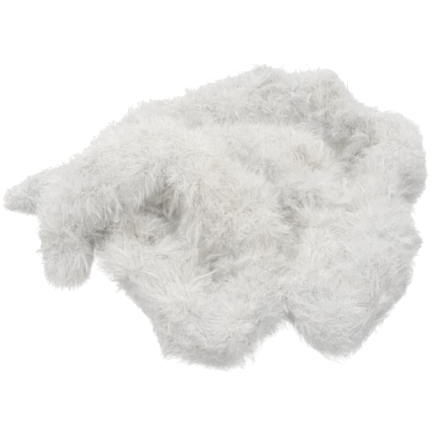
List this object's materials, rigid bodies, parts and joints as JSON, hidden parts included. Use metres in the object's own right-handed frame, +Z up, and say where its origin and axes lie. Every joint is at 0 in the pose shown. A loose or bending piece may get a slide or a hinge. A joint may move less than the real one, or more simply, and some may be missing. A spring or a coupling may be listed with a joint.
{
  "type": "feather boa",
  "caption": "White marabou feather boa lying in a loose heap: fluffy plumes tied in bunches along a thin cotton cord.",
  "frame": {"origin": "middle of the heap's outline, on the surface that it lies on", "axes": "+X along the heap's longest side, away from the thin end that sticks out; +Y across it, towards the strand that runs along the back; +Z up"},
  "size_m": [0.4403, 0.368, 0.1032],
  "materials": {
    "plume": "soft white marabou down, matt and fluffy",
    "cotton_cord": "twisted undyed cotton, matt",
    "binding_thread": "fine white sewing thread, slightly shiny"
  },
  "bodies": {
    "heap": {"core_cord": "cotton_cord", "thread_ties": "binding_thread", "whipping_blunt_end": "binding_thread", "knot_blunt_end": "cotton_cord", "frayed_blunt_end": "cotton_cord", "plume_bunch_03": "plume", "plume_bunch_04": "plume", "plume_bunch_05": "plume", "plume_bunch_06": "plume", "plume_bunch_07": "plume", "plume_bunch_08": "plume", "plume_bunch_09": "plume", "plume_bunch_10": "plume", "plume_bunch_11": "plume", "plume_bunch_12": "plume", "plume_bunch_13": "plume", "plume_bunch_14": "plume", "plume_bunch_15": "plume", "plume_bunch_16": "plume", "plume_bunch_17": "plume", "plume_bunch_18": "plume", "plume_bunch_19": "plume", "plume_bunch_20": "plume", "plume_bunch_21": "plume", "plume_bunch_22": "plume", "plume_bunch_23": "plume", "plume_bunch_24": "plume", "plume_bunch_25": "plume", "plume_bunch_26": "plume", "plume_bunch_27": "plume", "plume_bunch_28": "plume", "plume_bunch_29": "plume", "plume_bunch_30": "plume", "plume_bunch_31": "plume", "plume_bunch_32": "plume", "plume_bunch_33": "plume", "plume_bunch_34": "plume", "plume_bunch_35": "plume", "plume_bunch_36": "plume", "plume_bunch_37": "plume", "plume_bunch_38": "plume", "plume_bunch_39": "plume"},
    "tail": {"core_cord_tail": "cotton_cord", "thread_ties_tail": "binding_thread", "whipping_thin_end": "binding_thread", "knot_thin_end": "cotton_cord", "frayed_thin_end": "cotton_cord", "plume_bunch_01": "plume", "plume_bunch_02": "plume"}
  },
  "joints": [
    {"name": "tail_swing", "type": "hinge", "parent": "heap", "child": "tail", "pos_m": [-0.1318, 0.0445, 0.009], "axis": [0, 0, 1], "range_deg": [-35, 15]}
  ]
}
